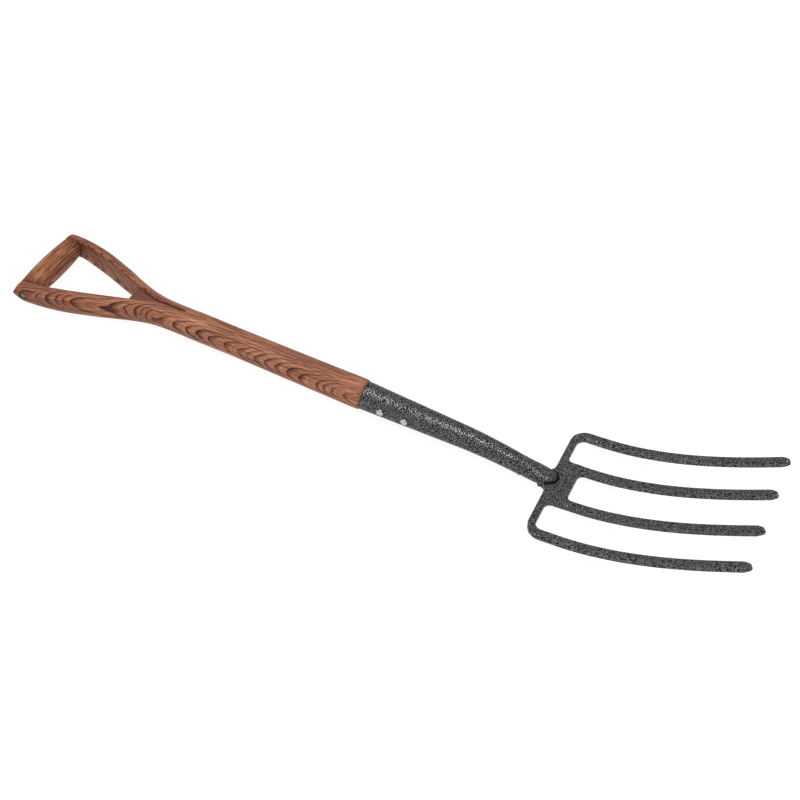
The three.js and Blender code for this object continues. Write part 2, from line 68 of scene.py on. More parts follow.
# Along one arm: x, sawn inner face, shoulder of the rounded back, outer face, half height, inner corner.
ARM_STATIONS = [
    (0, 51.2, 56.6, 66.4, 14.8, 4.5),
    (47, 42.3, 48.3, 59.2, 17.2, 5.0),
    (95, 26.2, 32.3, 43.8, 17.4, 5.0),
    (142, 9.4, 14.2, 24.8, 17.6, 3.8),
    (168, 0.8, 4.6, 19.7, 18.0, 1.8),
    (190, 0.8, 1.8, 18.4, 18.4, 0.8),
    (206, 0.8, 1.6, 18.4, 18.4, 0.7),
]
ARM_END_RADIUS = 14.8  # the arms' ends are rounded about the grip's own axis
ARM_END_SECTIONS = 24
ARM_END_TURN = 88  # degrees round the end, from the grip's axis to the first section
ARM_CORNER_POINTS = 7
ARM_BACK_POINTS = 21
ARM_FACE_POINTS = 14  # down the sawn face, between its corners
KERF_HALF = 0.8
SLIT_END = 206
SLIT_CLOSED = 209  # the edges of the saw cut have faded into the round shaft here
CLOSING_SECTIONS = [206.6, 207.2, 208, SLIT_CLOSED]
EVEN_FROM = SLIT_CLOSED + 40  # from here on the shaft's points are spaced evenly round it
GRIP_SEAT_X = 17  # behind this the sawn faces are parallel, to seat the grip

# x, radius.
SHAFT_STATIONS = [
    (203, 17.9),
    (209, 18.5),
    (280, 18.7),
    (375, 19.4),
    (440, 20.0),
    (464, 20.1),
    (467.8, 19.7),
    (469.4, 18.6),
]
SHOULDER_SECTIONS = [462, 464, 465.5, 466.8, 467.8, 468.5, 469, 469.4]
BOW_FROM, BOW_TO, BOW_HEIGHT = 100, 440, 0.8
GRIP_DROOP = 1.4  # behind the bow the arms curve down this far
TENON_START, TENON_END = 469.6, 590
TENON_CHAMFER = 2

SOCKET_RIM, SOCKET_END = 470, 688
SOCKET_RIM_RADIUS, SOCKET_END_RADIUS = 18.75, 12.45
SOCKET_WALL = 2
SOCKET_LIP = [(0, 0.7), (0.25, 0.25)]  # distance from the rim, inset of the outside there
SOCKET_INNER_LIP = 0.1
SOCKET_LEAN = 0.0125
CRANK_START, CRANK_DROP = 600, 7

WEDGE_BACK, WEDGE_TIP = 128, 163
WEDGE_SADDLE_DEPTH = 4
WEDGE_RECESS = 1.2
WEDGE_TIP_HALF = 0.3
WEDGE_EDGE_ROUND = 0.5

GRIP_MID_RADIUS, GRIP_END_RADIUS = 16.9, 14.6
GRIP_CHAMFER, GRIP_CHAMFER_LENGTH = 0.6, 0.4

HEAD_START_X, HEAD_START_Z = 726, -15.4
HEAD_LENGTH = 277.3
HEAD_HALF_WIDTH = 95
FLAT_LENGTH = 30
FROG_SLOPE = 5.5
# Distance along the head, slope there in degrees.
TINE_SLOPES = [(FLAT_LENGTH, FROG_SLOPE), (92, 15.3), (184, 26.4), (HEAD_LENGTH, 31.4)]
TINE_WIDTH, TINE_THICKNESS = 11.1, 8.4
INNER_TINE_Y = 30.7
OUTER_TINE_Y = HEAD_HALF_WIDTH - TINE_WIDTH / 2
CROSSBAR_WIDTH = 9.2
CORNER_RADIUS = 21
SLOT_FILLET = 8
MIDDLE_SLOT_START = 29.7
FROG_BACK = -12  # the frog runs back under the neck to here
FROG_THICKNESS = 9.2
INNER_TINE_ROOT = 12
NECK_FILLET = 9
NECK_HALF_WIDTH = 12.8
EDGE_ROUND = 0.7
TIP_START = HEAD_LENGTH - 14
# Distance back from the tip, share of the width, share of the thickness.
TIP_STATIONS = [
    (12, 1, 1),
    (9, 0.97, 1),
    (5, 0.75, 0.98),
    (2, 0.52, 0.94),
    (0.6, 0.38, 0.86),
    (0, 0.28, 0.78),
]
TIP_SECTIONS = [12, 11, 10, 9, 8, 7, 6, 5, 4, 3, 2.2, 1.5, 0.9, 0.4, 0]
# x, half width, top, bottom.
NECK_STATIONS = [
    (688.3, 12.3, 2.6, -22.0),
    (698, 12.8, 1.0, -22.3),
    (710, 13.6, -1.4, -22.3),
    (720, 13.2, -3.6, -21.8),
    (726, 12.2, -4.8, -20.8),
    (730.5, 10.8, -6.4, -19.8),
    (733.5, 8.4, -9.2, -19.2),
    (735, 5.6, -12.6, -18.6),
]
# The oval in which the neck's nose meets the frog.
NOSE_CENTRE_X, NOSE_LENGTH, NOSE_HALF_WIDTH = 720, 15.5, 12.8
SPIGOT_START, SPIGOT_GAP, SPIGOT_OVERLAP = 670, 0.3, 4
WELD_RADIUS, WELD_RISE = 1.9, 0.3

RIVET_RADIUS = 3
RIVET_HEAD_EDGE = 0.15
RIVET_DIMPLE_SHARE = 0.55  # of the head's radius
SOCKET_RIVET_XS = (499, 532)
SOCKET_RIVET_HEAD_RADIUS, SOCKET_RIVET_DOME = 4.6, 1.9
SOCKET_RIVET_SINK, SOCKET_RIVET_DIMPLE = 0.25, 1.2
GRIP_RIVET_HEAD_RADIUS, GRIP_RIVET_DOME = 3.9, 1.3
WASHER_RADIUS, WASHER_THICKNESS, WASHER_CHAMFER = 5.2, 1.2, 0.3
RECESS_RADIUS, RECESS_DEPTH = 5.7, 3.4
SPLIT_RIVET_X = 235
SPLIT_RIVET_SHANK = 2.2
SPLIT_RIVET_HEAD_RADIUS, SPLIT_RIVET_DOME = 3.8, 0.7
SPLIT_RECESS_DEPTH, SPLIT_RECESS_GAP = 1.5, 0.35
REACH = 90  # a cutter that goes right through reaches this far to each side

FINE_STEP = 2.0  # spacing of sections along the wood
ROUND_SIDES = 96
SMALL_ROUND_SIDES = 48
BEND_START, BEND_STEP = -60, 0.5
HEAD_VOXEL = 0.8
HEAD_SMOOTHING = 2  # passes

# Painted shade on the wood beside the grip, in the crotch, in the saw cut and on the grip's side towards
# the shaft; darker towards the socket's rim and the grip's ends; real stain on the arms and the wedge.
# Depths run from 0 to 1, distances are in millimetres.
FACE_SHADE_FADE = (1, 6)  # behind an arm's sawn face
BESIDE_GRIP_SHADE, BESIDE_GRIP_REACH = 0.8, 16
CROTCH_SHADE, CROTCH_SHADE_RISE = 0.7, (104, 140)
CUT_SHADE_START, CUT_SHADE_REACH = WEDGE_TIP - 4, 0.7
RIM_DARKENING, RIM_DARKENING_REACH = 0.4, 9
ARM_STAIN, ARM_STAIN_FADE = 0.27, (150, 260)
HAND_STAIN, HAND_STAIN_FADE = 0.12, (20, 110)
# The grip darkens towards its ends, with painted shade on its side towards the shaft.
GRIP_END_DARKENING, GRIP_END_DARKENING_FROM = 0.85, 22
GRIP_INSIDE_SHADE, GRIP_INSIDE_SHADE_FROM = 0.4, 4
WEDGE_STAIN = 0.25

# Where the wedge and the grip lay in their timber, away from the shaft's.
WEDGE_GRAIN_SHIFT = (40, 9, 0)
GRIP_GRAIN_SHIFT, GRIP_GRAIN_SQUEEZE = (300, 30, 60), 0.9

# Painted shade on the head: the paint is darkened in its creases, and round the corner where the neck's
# nose meets the frog.
CREASE_RANGE = (0.015, 0.05)  # hollow of the surface where a crease starts and where it is full
NOSE_SHADE, NOSE_SHADE_FADE = 0.8, (0.6, 2.8)
NOSE_SHADE_RISE = 6


# ---- Curves ----
def curve_through(rows, column=1):
    """A smooth function through rows of (position, value, ...), the same curve as the CAD draws."""
    xs = np.array([row[0] for row in rows], float)
    ys = np.array([row[column] for row in rows], float)

    def value(x):
        x = np.clip(np.asarray(x, float), xs[0], xs[-1])
        i = np.clip(np.searchsorted(xs, x, side="right"), 1, len(xs) - 1)
        x0, x1 = xs[i - 1], xs[i]
        before = np.where(i >= 2, i - 2, i)
        after = np.where(i + 1 < len(xs), i + 1, i - 1)
        x_before = np.where(i >= 2, xs[before], 2 * x0 - x1)
        x_after = np.where(i + 1 < len(xs), xs[after], 2 * x1 - x0)
        half = (x1 - x0) / 2
        wp, wn = half / (x0 - x_before), half / (x_after - x1)
        p = (x - x0) / (x1 - x0)
        p2, p3 = p * p, p * p * p
        s_before = -wp * p3 + 2 * wp * p2 - wp * p
        s0 = (1 + wp) * p3 + (-1.5 - 2 * wp) * p2 + (-0.5 + wp) * p + 1
        s1 = (-1 - wn) * p3 + (1.5 + wn) * p2 + 0.5 * p
        s_after = wn * p3 - wn * p2
        return s_before * ys[before] + s0 * ys[i - 1] + s1 * ys[i] + s_after * ys[after]

    return value


def smoothstep(value, low, high):
    t = np.clip((value - low) / (high - low), 0, 1)
    return t * t * (3 - 2 * t)


def shaft_axis_z(x):
    """The shaft bows up a little along its length, and its arms curve down to the grip."""
    x = np.asarray(x, float)
    along = np.clip((x - BOW_FROM) / (BOW_TO - BOW_FROM), 0, 1)
    behind = np.clip((BOW_FROM - x) / BOW_FROM, 0, 1)
    return BOW_HEIGHT * np.sin(np.pi * along) ** 2 - GRIP_DROOP * behind ** 2


GRIP_Z = float(shaft_axis_z(0))


def socket_axis_z(x):
    """The socket leans below the shaft's line and then bends down towards the head."""
    bent = np.clip((x - CRANK_START) / (SOCKET_END - CRANK_START), 0, 1)
    return -SOCKET_LEAN * (x - SOCKET_RIM) - CRANK_DROP * bent * bent


def socket_radius(x):
    along = (x - SOCKET_RIM) / (SOCKET_END - SOCKET_RIM)
    return SOCKET_RIM_RADIUS + (SOCKET_END_RADIUS - SOCKET_RIM_RADIUS) * along


arm_inner = curve_through(ARM_STATIONS, 1)
arm_shoulder = curve_through(ARM_STATIONS, 2)
arm_outer = curve_through(ARM_STATIONS, 3)
arm_half_height = curve_through(ARM_STATIONS, 4)
arm_corner = curve_through(ARM_STATIONS, 5)
shaft_radius = curve_through(SHAFT_STATIONS)

GRIP_RECESS_FLOOR = float(arm_outer(0)) - RECESS_DEPTH
SPLIT_RECESS_FLOOR = float(shaft_radius(SPLIT_RIVET_X)) - SPLIT_RECESS_DEPTH


def arm_inner_face(x):
    return np.maximum(arm_inner(np.maximum(x, GRIP_SEAT_X)), KERF_HALF)


# ---- From the tool's axes to the part's frame ----
def centre_of(node):
    low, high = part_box(node)
    return (low + high) / 2


def tool_to_part():
    """The move that puts the grip rivet and the lower socket rivet where the CAD has them."""
    grip = centre_of("grip_rivet")
    along = centre_of("socket_rivet_lower") - grip
    x = SOCKET_RIVET_XS[1]
    tilt = math.atan2(along.z, along.x) - math.atan2(socket_axis_z(x) - GRIP_Z, x)
    turn = Matrix.Rotation(-tilt, 4, "Y")
    from_grip = Matrix.Translation((0, 0, -GRIP_Z))
    return Matrix.Translation(grip) @ turn @ Matrix.Scale(0.001, 4) @ from_grip


TO_PART = tool_to_part()


# ---- Meshes ----
def numbered(rings, start=0):
    """The point numbers of each ring in turn, counted from a start."""
    loops = []
    for ring in rings:
        loops.append(list(range(start, start + len(ring))))
        start += len(ring)
    return loops


def strip(here, after):
    """Faces between two closed loops of point numbers."""
    faces = []
    for j in range(len(here)):
        k = (j + 1) % len(here)
        faces.append((here[j], here[k], after[k], after[j]))
    return faces


def skin(rings, closed=False):
    """Points and faces over rings of equal point count, capped at both ends unless closed."""
    loops = numbered(rings)
    following = loops[1:] + loops[:1] if closed else loops[1:]
    faces = []
    for here, after in zip(loops, following):
        faces += strip(here, after)
    if not closed:
        faces.append(tuple(reversed(loops[0])))
        faces.append(tuple(loops[-1]))
    return np.concatenate(rings), faces


def joined(parts):
    """Several (points, faces) as one."""
    points, faces, count = [], [], 0
    for part_points, part_faces in parts:
        points.append(part_points)
        faces += [tuple(i + count for i in face) for face in part_faces]
        count += len(part_points)
    return np.concatenate(points), faces


def mesh_from(name, points, faces):
    """A mesh object, still in the tool's axes, with its faces turned outwards."""
    mesh = bpy.data.meshes.new(name)
    mesh.from_pydata([tuple(p) for p in points], [], faces)
    piece = bpy.data.objects.new(name, mesh)
    bpy.context.scene.collection.objects.link(piece)
    work = bmesh.new()
    work.from_mesh(mesh)
    bmesh.ops.recalc_face_normals(work, faces=work.faces)
    work.to_mesh(mesh)
    work.free()
    return piece


def apply_modifiers(piece):
    depsgraph = bpy.context.evaluated_depsgraph_get()
    made = bpy.data.meshes.new_from_object(piece.evaluated_get(depsgraph))
    piece.modifiers.clear()
    old = piece.data
    piece.data = made
    bpy.data.meshes.remove(old)
    made.name = piece.name


def cut(piece, cutters):
    for cutter in cutters:
        modifier = piece.modifiers.new("cut", "BOOLEAN")
        modifier.operation = "DIFFERENCE"
        modifier.solver = "EXACT"
        modifier.object = cutter
    apply_modifiers(piece)
    for cutter in cutters:
        mesh = cutter.data
        bpy.data.objects.remove(cutter)
        bpy.data.meshes.remove(mesh)


def coordinates(piece):
    flat = np.zeros(len(piece.data.vertices) * 3, np.float32)
    piece.data.vertices.foreach_get("co", flat)
    return flat.reshape(-1, 3).astype(float)


def keep_grain(piece, grain, stain_and_shade):
    """Stores where each point lay in the unbent timber, in millimetres, and how dark its stain and
    painted shade are.
    """
    attribute = piece.data.attributes.new("grain", "FLOAT_VECTOR", "POINT")
    attribute.data.foreach_set("vector", np.asarray(grain, np.float32).ravel())
    attribute = piece.data.attributes.new("stain_and_shade", "FLOAT", "POINT")
    attribute.data.foreach_set("value", np.asarray(stain_and_shade, np.float32))


def finished(piece, node, material, sharp_degrees=35):
    """Shades a piece, carries it to the part's frame, gives it its material and hides its CAD node."""
    piece.data.shade_smooth()
    piece.data.set_sharp_from_angle(angle=math.radians(sharp_degrees))
    piece.data.transform(TO_PART)
    piece.data.materials.clear()
    piece.data.materials.append(material)
    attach(piece, "root")
    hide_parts(node)


def circle(x, radius, z=0.0):
    turn = np.linspace(0, 2 * np.pi, ROUND_SIDES, endpoint=False)
    across = radius * np.cos(turn)
    return np.stack([np.full(ROUND_SIDES, float(x)), across, z + radius * np.sin(turn)], 1)


def turned_across(profile, x, z, sides=SMALL_ROUND_SIDES, closed=False):
    """Points and faces of a solid turned about a line across the fork, from (radius, y) points."""
    turn = np.linspace(0, 2 * np.pi, sides, endpoint=False)
    rings = []
    for radius, y in profile:
        along = x + radius * np.cos(turn)
        rings.append(np.stack([along, np.full(sides, float(y)), z + radius * np.sin(turn)], 1))
    return skin(rings, closed)


def stepped_cutter(x, z, bore, recess, floor):
    """A cutter for a bore right through the fork with a wider recess at each side."""
    half = [(bore, floor), (recess, floor), (recess, REACH)]
    profile = [(r, -y) for r, y in reversed(half)] + half
    return mesh_from("cutter", *turned_across(profile, x, z))


def socket_rivet_cutters():
    """Cutters for the bores of the two rivets through the socket and the tenon."""
    profile = [(RIVET_RADIUS + TOUCH, -REACH), (RIVET_RADIUS + TOUCH, REACH)]
    cutters = []
    for x in SOCKET_RIVET_XS:
        cutters.append(mesh_from("cutter", *turned_across(profile, x, socket_axis_z(x))))
    return cutters


# ---- Handle ----
def arm_chain(x):
    """One arm's outline from the top of its sawn face round its back to the bottom, as (y, z)."""
    inner = float(arm_inner_face(x))
    corner = float(arm_corner(x))
    height = float(arm_half_height(x))
    shoulder = max(float(arm_shoulder(x)), inner + corner)
    reach = float(arm_outer(x)) - shoulder
    turn = np.linspace(0, np.pi / 2, ARM_CORNER_POINTS)
    corner_y = inner + corner * (1 - np.cos(turn))
    corner_z = height - corner * (1 - np.sin(turn))
    turn = np.linspace(0, np.pi / 2, ARM_BACK_POINTS + 1)[1:]
    back_y = shoulder + reach * np.sin(turn)
    back_z = height * np.cos(turn)
    y = np.concatenate([corner_y, back_y])
    z = np.concatenate([corner_z, back_z])
    return np.concatenate([y, y[-2::-1]]), np.concatenate([z, -z[-2::-1]])


def arm_ring(x, side):
    """A section of one arm; behind the grip's axis it is lowered to round the arm's end."""
    y, z = arm_chain(x)
    face = np.linspace(0, 1, ARM_FACE_POINTS + 2)[1:-1]
    y = np.concatenate([y, np.full(ARM_FACE_POINTS, y[-1])])
    z = np.concatenate([z, z[-1] + (z[0] - z[-1]) * face])
    if x < 0:
        height = math.sqrt(ARM_END_RADIUS**2 - x**2)
        z = GRIP_Z - shaft_axis_z(x) + z * height / float(arm_half_height(x))
    return np.stack([np.full(len(y), float(x)), side * y, shaft_axis_z(x) + z], 1)


def arm_rings(side):
    """Sections along one arm: close together round its end, then evenly to the end of the saw cut."""
    turn = np.radians(np.linspace(ARM_END_TURN, 0, ARM_END_SECTIONS, endpoint=False))
    straight = np.linspace(0, SLIT_END, round(SLIT_END / FINE_STEP) + 1)
    xs = np.concatenate([-ARM_END_RADIUS * np.sin(turn), straight])
    return [arm_ring(x, side) for x in xs]


def round_chain(x):
    """Half of the round shaft's outline, point for point like an arm's, as (y, z)."""
    y, z = arm_chain(SLIT_END)
    angles = np.arctan2(y, z)
    even = (np.arange(len(y)) + 0.5) * np.pi / len(y)
    angles = angles + (even - angles) * smoothstep(x, SLIT_CLOSED, EVEN_FROM)
    radius = float(shaft_radius(x))
    return radius * np.sin(angles), radius * np.cos(angles)


def tenon_chain(radius):
    """The same points as the shaft's last sections, drawn in to the tenon's radius."""
    y, z = round_chain(EVEN_FROM)
    scale = radius / np.hypot(y[0], z[0])
    return y * scale, z * scale


def full_ring(x, chain, axis_z):
    """A whole section from one side's chain of points and its mirror image."""
    y, z = chain
    ring_y = np.concatenate([y, -y[::-1]])
    ring_z = np.concatenate([z, z[::-1]])
    return np.stack([np.full(len(ring_y), float(x)), ring_y, axis_z + ring_z], 1)


def shaft_rings():
    """The round shaft from the end of the saw cut to the tenon's tip."""
    rings = [full_ring(SLIT_END, arm_chain(SLIT_END), shaft_axis_z(SLIT_END))]
    for x in CLOSING_SECTIONS:
        share = smoothstep(x, SLIT_END, SLIT_CLOSED)
        split, whole = arm_chain(SLIT_END), round_chain(SLIT_CLOSED)
        chain = [a + (b - a) * share for a, b in zip(split, whole)]
        rings.append(full_ring(x, chain, shaft_axis_z(x)))
    body = np.arange(SLIT_CLOSED + FINE_STEP, SHOULDER_SECTIONS[0], FINE_STEP)
    for x in [*body, *SHOULDER_SECTIONS]:
        rings.append(full_ring(x, round_chain(x), shaft_axis_z(x)))
    for x in [TENON_START, *np.linspace(SOCKET_RIM + 5, TENON_END, 20)]:
        radius = socket_radius(x) - SOCKET_WALL - TOUCH
        rings.append(full_ring(x, tenon_chain(radius), socket_axis_z(x)))
    radius = socket_radius(TENON_END) - SOCKET_WALL - TENON_CHAMFER
    tip = full_ring(TENON_END + TENON_CHAMFER, tenon_chain(radius), socket_axis_z(TENON_END))
    return rings + [tip]


def shaft_surface():
    """Points and faces of the two arms and the shaft as one closed skin with an open saw cut."""
    left, right, body = arm_rings(1), arm_rings(-1), shaft_rings()
    left_loops = numbered(left)
    right_loops = numbered(right, left_loops[-1][-1] + 1)
    faces = []
    for loops in (left_loops, right_loops):
        for here, after in zip(loops, loops[1:]):
            faces += strip(here, after)
        faces.append(tuple(loops[0]))
    # The last section of both arms is also the first section of the round shaft.
    left_end, right_end = left_loops[-1], right_loops[-1]
    chain = 2 * (ARM_CORNER_POINTS + ARM_BACK_POINTS) - 1
    first = left_end[:chain] + right_end[:chain][::-1]
    loops = [first] + numbered(body[1:], right_end[-1] + 1)
    for here, after in zip(loops, loops[1:]):
        faces += strip(here, after)
    faces.append(tuple(loops[-1]))
    # The bottom of the saw cut.
    down = [*range(chain - 1, chain + ARM_FACE_POINTS), 0]
    for a, b in zip(down, down[1:]):
        faces.append((left_end[a], left_end[b], right_end[b], right_end[a]))
    return np.concatenate(left + right + body[1:]), faces


def handle_stain_and_shade(at):
    """How dark the handle is: painted shade beside the grip, in the crotch and in the saw cut, darker
    towards the rim, and real stain along the arms.
    """
    x, y, z = at.T
    on_face = 1 - smoothstep(np.abs(y) - arm_inner_face(x), *FACE_SHADE_FADE)
    from_grip = np.hypot(x, z - GRIP_Z) - GRIP_END_RADIUS
    by_grip = 1 - smoothstep(from_grip, 0, BESIDE_GRIP_REACH)
    in_crotch = smoothstep(x, *CROTCH_SHADE_RISE) * (x < SLIT_END)
    # Painted shade in the saw cut.
    beside_cut = np.abs(y) < KERF_HALF + CUT_SHADE_REACH
    shade_in_cut = (x > CUT_SHADE_START) * (x < SLIT_CLOSED) * beside_cut
    # Darker towards the socket's rim.
    darker_at_rim = RIM_DARKENING * smoothstep(x, SOCKET_RIM - RIM_DARKENING_REACH, SOCKET_RIM - 1)
    on_arms = ARM_STAIN + HAND_STAIN * (1 - smoothstep(x, *HAND_STAIN_FADE))
    on_arms = on_arms * (1 - smoothstep(x, *ARM_STAIN_FADE))
    # Painted shade in the corners of the sawn faces, beside the grip and in the crotch.
    shade_on_faces = on_face * np.maximum(BESIDE_GRIP_SHADE * by_grip, CROTCH_SHADE * in_crotch)
    return np.maximum.reduce([shade_on_faces, darker_at_rim, on_arms, shade_in_cut])


def make_shaft(material):
    """One piece of timber; its grain is kept as it ran before the arms were bent apart."""
    piece = mesh_from("ash_shaft_and_arms", *shaft_surface())
    cutters = [
        stepped_cutter(0, GRIP_Z, RIVET_RADIUS + TOUCH, RECESS_RADIUS, GRIP_RECESS_FLOOR),
        stepped_cutter(
            SPLIT_RIVET_X,
            float(shaft_axis_z(SPLIT_RIVET_X)),
            SPLIT_RIVET_SHANK + TOUCH,
            SPLIT_RIVET_HEAD_RADIUS + SPLIT_RECESS_GAP,
            SPLIT_RECESS_FLOOR,
        ),
    ]
    cut(piece, cutters + socket_rivet_cutters())
    at = coordinates(piece)
    bend = np.where(at[:, 0] < SLIT_END, arm_inner_face(at[:, 0]) - KERF_HALF, 0)
    unbent_y = at[:, 1] - np.sign(at[:, 1]) * bend
    keep_grain(piece, np.stack([at[:, 0], unbent_y, at[:, 2]], 1), handle_stain_and_shade(at))
    finished(piece, "ash_shaft", material)


def make_wedge(material):
    """The filler in the crotch: flat cheeks against the arms, a hollow saddle towards the hand."""
    rings = []
    across = np.linspace(-1, 1, 17)
    length = WEDGE_TIP - WEDGE_BACK
    for x in np.linspace(0, 1, 20) ** 1.4 * length + WEDGE_BACK:
        y = max(float(arm_inner_face(x)) - TOUCH, WEDGE_TIP_HALF)
        z = float(arm_half_height(x) - arm_corner(x)) - WEDGE_RECESS
        hollow = WEDGE_SADDLE_DEPTH * (1 - across ** 2) * (WEDGE_TIP - x) / length
        upright = [(x + h, y, z * a) for a, h in zip(across, hollow)]
        back = [(x + h, -y, z * a) for a, h in zip(across[::-1], hollow[::-1])]
        rings.append(np.array(upright + back) + [0, 0, float(shaft_axis_z(x))])
    piece = mesh_from("crotch_filler", *skin(rings))
    bevel = piece.modifiers.new("soft_edges", "BEVEL")
    bevel.width = WEDGE_EDGE_ROUND
    bevel.segments = 2
    bevel.limit_method = "ANGLE"
    apply_modifiers(piece)
    at = coordinates(piece)
    keep_grain(piece, at + WEDGE_GRAIN_SHIFT, np.full(len(at), WEDGE_STAIN))
    finished(piece, "crotch_wedge", material)


def make_grip(material):
    """A bored barrel, thickest in the middle, with its ends chamfered."""
    half = float(arm_inner_face(0)) - TOUCH
    bore = RIVET_RADIUS + TOUCH
    end_radius = GRIP_END_RADIUS - GRIP_CHAMFER
    reach = half - GRIP_CHAMFER_LENGTH
    profile = [(bore, -half), (end_radius, -half)]
    for y in np.linspace(-reach, reach, 61):
        swell = (GRIP_MID_RADIUS - GRIP_END_RADIUS) * (1 - (y / half) ** 2)
        profile.append((GRIP_END_RADIUS + swell, y))
    profile += [(end_radius, half), (bore, half)]
    piece = mesh_from("barrel_grip", *turned_across(profile, 0, GRIP_Z, ROUND_SIDES, closed=True))
    x, y, z = coordinates(piece).T
    # Darker towards the ends, and painted shade on the side that faces the shaft.
    darker_at_ends = GRIP_END_DARKENING * smoothstep(np.abs(y), GRIP_END_DARKENING_FROM, half)
    inside = GRIP_INSIDE_SHADE * smoothstep(x, GRIP_INSIDE_SHADE_FROM, GRIP_END_RADIUS)
    grain = np.stack([y, z * GRIP_GRAIN_SQUEEZE, x], 1) + GRIP_GRAIN_SHIFT
    keep_grain(piece, grain, np.maximum(darker_at_ends, inside))
    finished(piece, "hand_grip", material)


# ---- Rivets ----
def rivet_head(shank, seat, radius, dome, dimple):
    """The (radius, y) outline of a domed head, from its underside to its middle."""
    edge = RIVET_HEAD_EDGE
    outline = [(shank, seat), (radius - edge, seat), (radius, seat + edge)]
    for turn in np.linspace(0.12, 1, 10) * np.pi / 2:
        r = radius * math.cos(turn)
        y = seat + edge + (dome - edge) * math.sin(turn)
        dip = dimple * max(0.0, 1 - (r / (radius * RIVET_DIMPLE_SHARE)) ** 2)
        outline.append((max(r, 0.02), y - dip))
    return outline


def make_rivet(name, node, material, x, z, shank, seat, radius, dome, dimple=0.0):
    """A shank right across the fork with a domed head at each end."""
    head = rivet_head(shank, seat, radius, dome, dimple)
    profile = [(r, -y) for r, y in reversed(head)] + head
    piece = mesh_from(name, *turned_across(profile, x, z))
    finished(piece, node, material, 50)


def make_washer(name, node, material, side):
    """A flat ring on its recess's floor, with its outer edge chamfered."""
    inner = GRIP_RECESS_FLOOR + TOUCH
    outer = inner + WASHER_THICKNESS
    bore = RIVET_RADIUS + TOUCH
    profile = [
        (bore, inner),
        (WASHER_RADIUS, inner),
        (WASHER_RADIUS, outer - WASHER_CHAMFER),
        (WASHER_RADIUS - WASHER_CHAMFER, outer),
        (bore, outer),
    ]
    profile = [(r, side * y) for r, y in profile]
    piece = mesh_from(name, *turned_across(profile, 0, GRIP_Z, closed=True))
    finished(piece, node, material, 50)


# ---- Socket ----
def make_socket(material):
    """A tapered and cranked tube with a softened rim, bored for its two rivets."""
    xs = list(np.linspace(SOCKET_RIM + 1, SOCKET_END, 110))
    lip = [(SOCKET_RIM + along, inset) for along, inset in SOCKET_LIP]
    outside = lip + [(x, 0) for x in xs]
    inside = [(x, SOCKET_WALL) for x in reversed(xs)]
    inside.append((SOCKET_RIM, SOCKET_WALL - SOCKET_INNER_LIP))
    rings = [circle(x, socket_radius(x) - inset, socket_axis_z(x)) for x, inset in outside + inside]
    piece = mesh_from("tapered_socket", *skin(rings, closed=True))
    cut(piece, socket_rivet_cutters())
    finished(piece, "socket", material)


# ---- Head ----
# It is drawn flat, with s along it, y across it and n out of its front, and then bent.
BEND_S = np.arange(BEND_START, HEAD_LENGTH + 3 * BEND_STEP, BEND_STEP)
BEND_SLOPE = np.radians(np.where(BEND_S <= FLAT_LENGTH, FROG_SLOPE, curve_through(TINE_SLOPES)(BEND_S)))


def bend_centre():
    """Where the middle of the bent metal runs, as x and z at each of the BEND_S."""
    middle = (BEND_SLOPE[1:] + BEND_SLOPE[:-1]) / 2
    steps = np.diff(BEND_S)
    x = np.concatenate([[0], np.cumsum(np.cos(middle) * steps)])
    z = np.concatenate([[0], np.cumsum(np.sin(middle) * steps)])
    x += HEAD_START_X - np.interp(0, BEND_S, x)
    z += HEAD_START_Z - np.interp(0, BEND_S, z)
    return x, z


BEND_X, BEND_Z = bend_centre()


def bent(s, y, n):
    """Points of the flat drawing carried to the bent head."""
    slope = np.interp(s, BEND_S, BEND_SLOPE)
    x = np.interp(s, BEND_S, BEND_X) - n * np.sin(slope)
    z = np.interp(s, BEND_S, BEND_Z) + n * np.cos(slope)
    return np.stack([x, y, z], 1)


def bar_ring(start, end, thickness):
    """A rounded rectangle across a bar, between two (s, y) points of the flat drawing."""
    start, end = np.array(start, float), np.array(end, float)
    width = np.linalg.norm(end - start)
    across = (end - start) / width
    half = thickness / 2
    edge = min(EDGE_ROUND, width * 0.3, half * 0.6)
    turn = np.linspace(0, np.pi / 2, 5)
    centres = [
        (width - edge, half - edge),
        (edge, half - edge),
        (edge, edge - half),
        (width - edge, edge - half),
    ]
    corners = []
    for quarter, (centre_a, centre_n) in enumerate(centres):
        angle = quarter * np.pi / 2 + turn
        corners.append(np.stack([centre_a + edge * np.cos(angle), centre_n + edge * np.sin(angle)], 1))
    outline = np.concatenate(corners)
    flat = start + outline[:, :1] * across
    return bent(flat[:, 0], flat[:, 1], outline[:, 1])


def tine_ring(s, y, width_share=1.0, thickness_share=1.0):
    """One section of the tine centred on y."""
    half = TINE_WIDTH / 2 * width_share * np.sign(y)
    return bar_ring((s, y + half), (s, y - half), TINE_THICKNESS * thickness_share)


def tip_rings(y):
    """The sections that narrow and thin to a tine's blunt tip."""
    width_share = curve_through([(-back, share) for back, share, _ in TIP_STATIONS])
    thickness_share = curve_through([(-back, share) for back, _, share in TIP_STATIONS])
    rings = []
    for back in TIP_SECTIONS:
        shares = float(width_share(-back)), float(thickness_share(-back))
        rings.append(tine_ring(HEAD_LENGTH - back, y, *shares))
    return rings


def fillet_reach(radius, past):
    """How far a fillet reaches sideways at a distance past the wall that it starts on."""
    if past >= radius:
        return 0.0
    return radius - math.sqrt(radius * radius - (radius - past) ** 2)


def mirrored(ring):
    return ring * [1, -1, 1]


